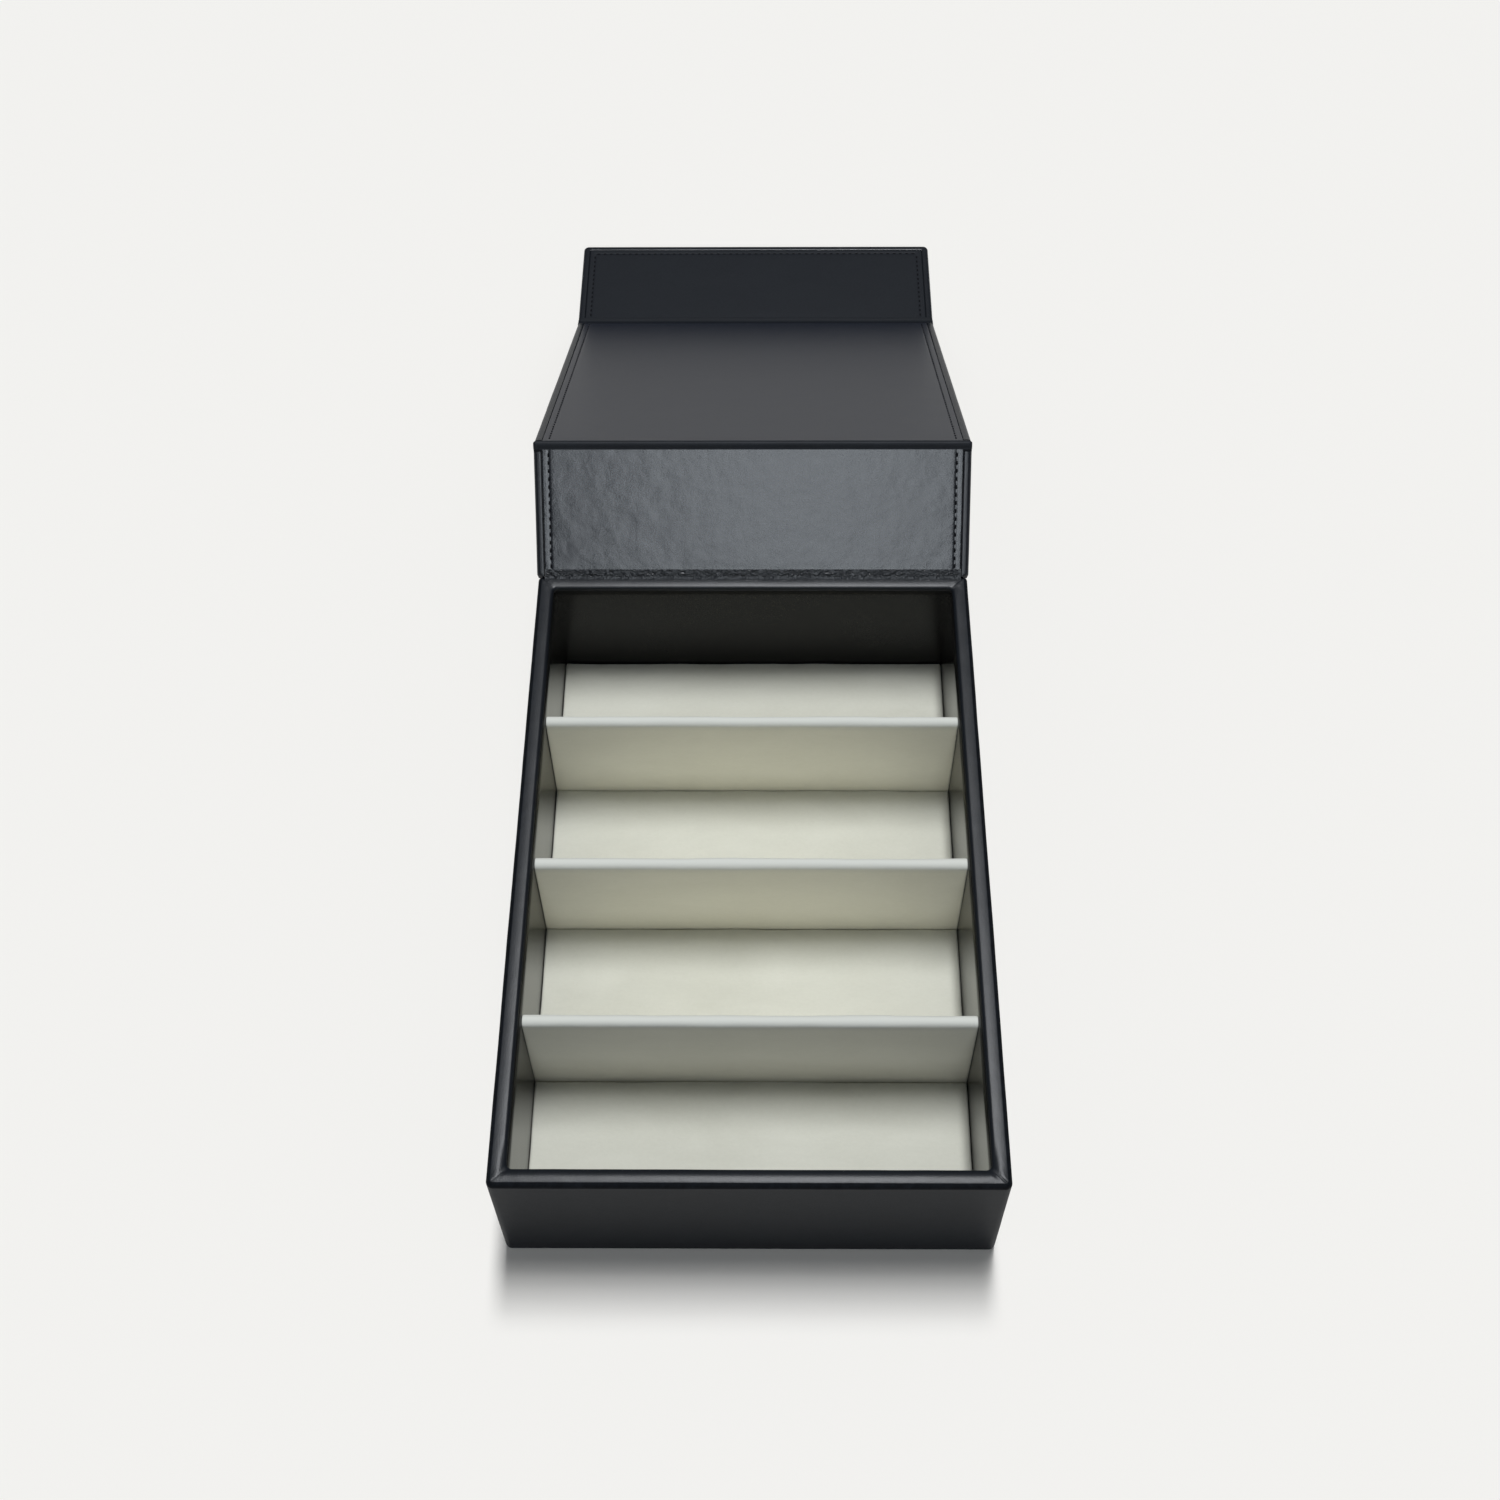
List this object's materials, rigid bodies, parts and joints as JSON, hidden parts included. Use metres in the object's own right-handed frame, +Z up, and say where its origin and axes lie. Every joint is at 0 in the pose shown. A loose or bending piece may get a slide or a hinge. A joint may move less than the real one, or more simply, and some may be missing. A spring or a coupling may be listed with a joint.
{
  "type": "folding-lid jewelry box",
  "caption": "Leather-covered tray with padded suede compartments and a three-panel folding lid, shown folded open behind it.",
  "frame": {"origin": "centre of the tray's underside, on the surface it stands on", "axes": "+X to the right along the width, +Y to the back where the lid is laid open, +Z up; the front wall faces -Y"},
  "size_m": [0.181, 0.5403, 0.1055],
  "materials": {
    "black_leather": "satin",
    "lid_lining_leather": "satin",
    "wall_lining": "satin",
    "cream_suede": "matte",
    "pad_foam": "matte",
    "wall_board": "matte",
    "grey_card": "matte",
    "bottom_sheet": "matte",
    "thread": "satin",
    "magnet": "satin"
  },
  "bodies": {
    "tray": {"bottom_sheet": "bottom_sheet", "base_board": "wall_board", "front_wall": "wall_board", "rear_wall": "wall_board", "left_wall": "wall_board", "right_wall": "wall_board", "front_leather": "black_leather", "rear_leather": "black_leather", "left_leather": "black_leather", "right_leather": "black_leather", "front_lining": "wall_lining", "rear_lining": "wall_lining", "left_lining": "wall_lining", "right_lining": "wall_lining", "divider_1_core": "grey_card", "divider_2_core": "grey_card", "divider_3_core": "grey_card", "divider_1_cover": "cream_suede", "divider_2_cover": "cream_suede", "divider_3_cover": "cream_suede", "pad_1_card": "grey_card", "pad_2_card": "grey_card", "pad_3_card": "grey_card", "pad_4_card": "grey_card", "pad_1_foam": "pad_foam", "pad_2_foam": "pad_foam", "pad_3_foam": "pad_foam", "pad_4_foam": "pad_foam", "pad_1_cover": "cream_suede", "pad_2_cover": "cream_suede", "pad_3_cover": "cream_suede", "pad_4_cover": "cream_suede", "wall_magnets": "magnet"},
    "lid_rear": {"rear_hinge_leather": "black_leather", "lid_rear_board": "grey_card", "lid_rear_skin": "black_leather", "lid_rear_lining": "lid_lining_leather", "lid_rear_stitching": "thread"},
    "lid_main": {"ridge_hinge_leather": "black_leather", "lid_main_board": "grey_card", "lid_main_skin": "black_leather", "lid_main_lining": "lid_lining_leather", "lid_main_stitching": "thread"},
    "flap": {"flap_hinge_leather": "black_leather", "flap_board": "grey_card", "flap_skin": "black_leather", "flap_lining": "lid_lining_leather", "flap_stitching": "thread", "flap_magnets": "magnet"}
  },
  "joints": [
    {"name": "rear_hinge", "type": "hinge", "parent": "tray", "child": "lid_rear", "pos_m": [0, 0.1305, 0.064], "axis": [1, 0, 0], "range_deg": [0, 132], "deforming": ["rear_hinge_leather"]},
    {"name": "ridge_fold", "type": "hinge", "parent": "lid_rear", "child": "lid_main", "pos_m": [0, 0.16931, 0.1071], "axis": [1, 0, 0], "range_deg": [0, 77.62], "deforming": ["ridge_hinge_leather"]},
    {"name": "flap_fold", "type": "hinge", "parent": "lid_main", "child": "flap", "pos_m": [0, 0.34926, 0.0048], "axis": [1, 0, 0], "range_deg": [0, 60.38], "deforming": ["flap_hinge_leather"]}
  ]
}
